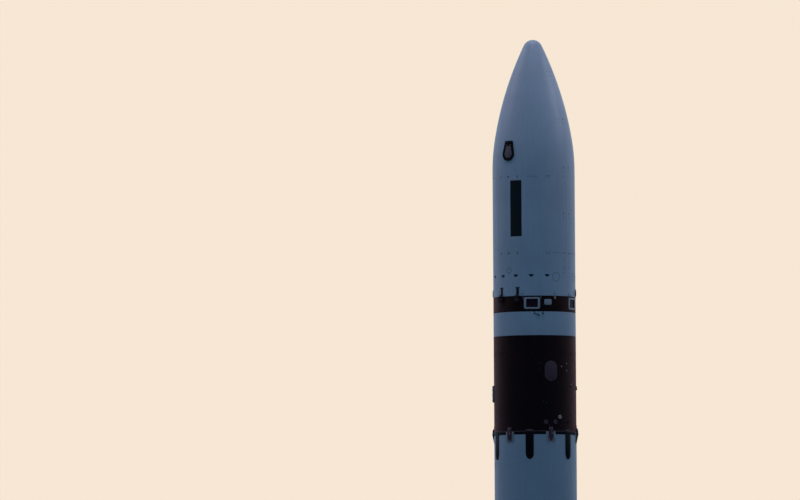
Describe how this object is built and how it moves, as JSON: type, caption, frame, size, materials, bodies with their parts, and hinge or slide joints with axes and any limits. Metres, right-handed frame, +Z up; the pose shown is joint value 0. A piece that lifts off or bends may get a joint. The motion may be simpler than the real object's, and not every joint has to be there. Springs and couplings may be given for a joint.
{
  "type": "two-stage small satellite launch rocket",
  "caption": "Slim launch rocket standing nose up: white tanks, black interstage, hinged two-part nose fairing with an inlet flap, latched stage joint and gimballed engines.",
  "frame": {"origin": "on the centre line, in the plane of the hold-down feet that the rocket stands on", "axes": "+Z up along the centre line to the nose, -Y to the middle of fairing half A and its inlet flap, +X along the line where the fairing halves part"},
  "size_m": [1.334, 1.3856, 13.0995],
  "materials": {
    "white_paint": "semi-gloss, slightly chalky",
    "black_composite": "satin, faint weave",
    "grey_cover": "matt",
    "dark_metal": "dark oxide, satin",
    "bare_aluminium": "machined",
    "engine_metal": "heat-tinted alloy",
    "heat_blanket": "woven silica cloth"
  },
  "bodies": {
    "booster": {"aft_ring": "bare_aluminium", "engine_skirt": "white_paint", "heat_shield": "heat_blanket", "thrust_frame": "bare_aluminium", "fuel_tank": "white_paint", "intertank_ring": "bare_aluminium", "oxidizer_tank": "white_paint", "raceway_1": "white_paint", "raceway_2": "white_paint", "joint_tongue_ring": "black_composite", "joint_latch_1": "dark_metal", "joint_latch_2": "dark_metal", "joint_latch_3": "dark_metal", "joint_latch_4": "dark_metal", "joint_latch_5": "dark_metal", "joint_latch_6": "dark_metal", "interstage": "black_composite", "interstage_collar": "black_composite", "access_cover_1": "grey_cover", "access_cover_2": "grey_cover", "umbilical_plate_aft": "bare_aluminium", "umbilical_plate_forward": "bare_aluminium", "upper_ring": "white_paint", "separation_band": "black_composite", "window_frame_1": "white_paint", "window_frame_2": "white_paint", "window_frame_3": "white_paint", "window_frame_4": "white_paint", "separation_deck": "bare_aluminium", "upper_stage_tank": "bare_aluminium", "pressure_bottle_1": "black_composite", "pressure_bottle_2": "black_composite", "pressure_bottle_3": "black_composite", "pressure_bottle_4": "black_composite", "payload_adapter": "bare_aluminium"},
    "fairing_a": {"fairing_half_a": "white_paint", "inlet_frame": "black_composite", "fairing_hinge_a_1": "dark_metal", "fairing_hinge_a_2": "dark_metal"},
    "fairing_b": {"fairing_half_b": "white_paint", "fairing_hinge_b_1": "dark_metal", "fairing_hinge_b_2": "dark_metal"},
    "flap": {"inlet_flap": "grey_cover"},
    "cross_1": {"gimbal_cross_1": "dark_metal"},
    "cross_2": {"gimbal_cross_2": "dark_metal"},
    "cross_3": {"gimbal_cross_3": "dark_metal"},
    "cross_4": {"gimbal_cross_4": "dark_metal"},
    "cross_5": {"gimbal_cross_5": "dark_metal"},
    "motor_1": {"engine_1": "engine_metal"},
    "motor_2": {"engine_2": "engine_metal"},
    "motor_3": {"engine_3": "engine_metal"},
    "motor_4": {"engine_4": "engine_metal"},
    "motor_5": {"engine_5": "engine_metal"}
  },
  "joints": [
    {"name": "fairing_a_open", "type": "hinge", "parent": "booster", "child": "fairing_a", "pos_m": [0, -0.664, 8.641], "axis": [1, 0, 0], "range_deg": [0, 60]},
    {"name": "fairing_b_open", "type": "hinge", "parent": "booster", "child": "fairing_b", "pos_m": [0, 0.664, 8.641], "axis": [-1, 0, 0], "range_deg": [0, 60]},
    {"name": "inlet_flap_open", "type": "hinge", "parent": "fairing_a", "child": "flap", "pos_m": [0, -0.6478, 11.076], "axis": [-1, 0, 0], "range_deg": [0, 90]},
    {"name": "engine_1_pitch", "type": "hinge", "parent": "booster", "child": "cross_1", "pos_m": [0, 0, 0.38], "axis": [1, 0, 0], "range_deg": [-5, 5]},
    {"name": "engine_1_yaw", "type": "hinge", "parent": "cross_1", "child": "motor_1", "pos_m": [0, 0, 0.38], "axis": [0, 1, 0], "range_deg": [-5, 5]},
    {"name": "engine_2_pitch", "type": "hinge", "parent": "booster", "child": "cross_2", "pos_m": [0, -0.44, 0.38], "axis": [1, 0, 0], "range_deg": [-5, 5]},
    {"name": "engine_2_yaw", "type": "hinge", "parent": "cross_2", "child": "motor_2", "pos_m": [0, -0.44, 0.38], "axis": [0, 1, 0], "range_deg": [-5, 5]},
    {"name": "engine_3_pitch", "type": "hinge", "parent": "booster", "child": "cross_3", "pos_m": [0.44, 0, 0.38], "axis": [1, 0, 0], "range_deg": [-5, 5]},
    {"name": "engine_3_yaw", "type": "hinge", "parent": "cross_3", "child": "motor_3", "pos_m": [0.44, 0, 0.38], "axis": [0, 1, 0], "range_deg": [-5, 5]},
    {"name": "engine_4_pitch", "type": "hinge", "parent": "booster", "child": "cross_4", "pos_m": [0, 0.44, 0.38], "axis": [1, 0, 0], "range_deg": [-5, 5]},
    {"name": "engine_4_yaw", "type": "hinge", "parent": "cross_4", "child": "motor_4", "pos_m": [0, 0.44, 0.38], "axis": [0, 1, 0], "range_deg": [-5, 5]},
    {"name": "engine_5_pitch", "type": "hinge", "parent": "booster", "child": "cross_5", "pos_m": [-0.44, 0, 0.38], "axis": [1, 0, 0], "range_deg": [-5, 5]},
    {"name": "engine_5_yaw", "type": "hinge", "parent": "cross_5", "child": "motor_5", "pos_m": [-0.44, 0, 0.38], "axis": [0, 1, 0], "range_deg": [-5, 5]}
  ]
}
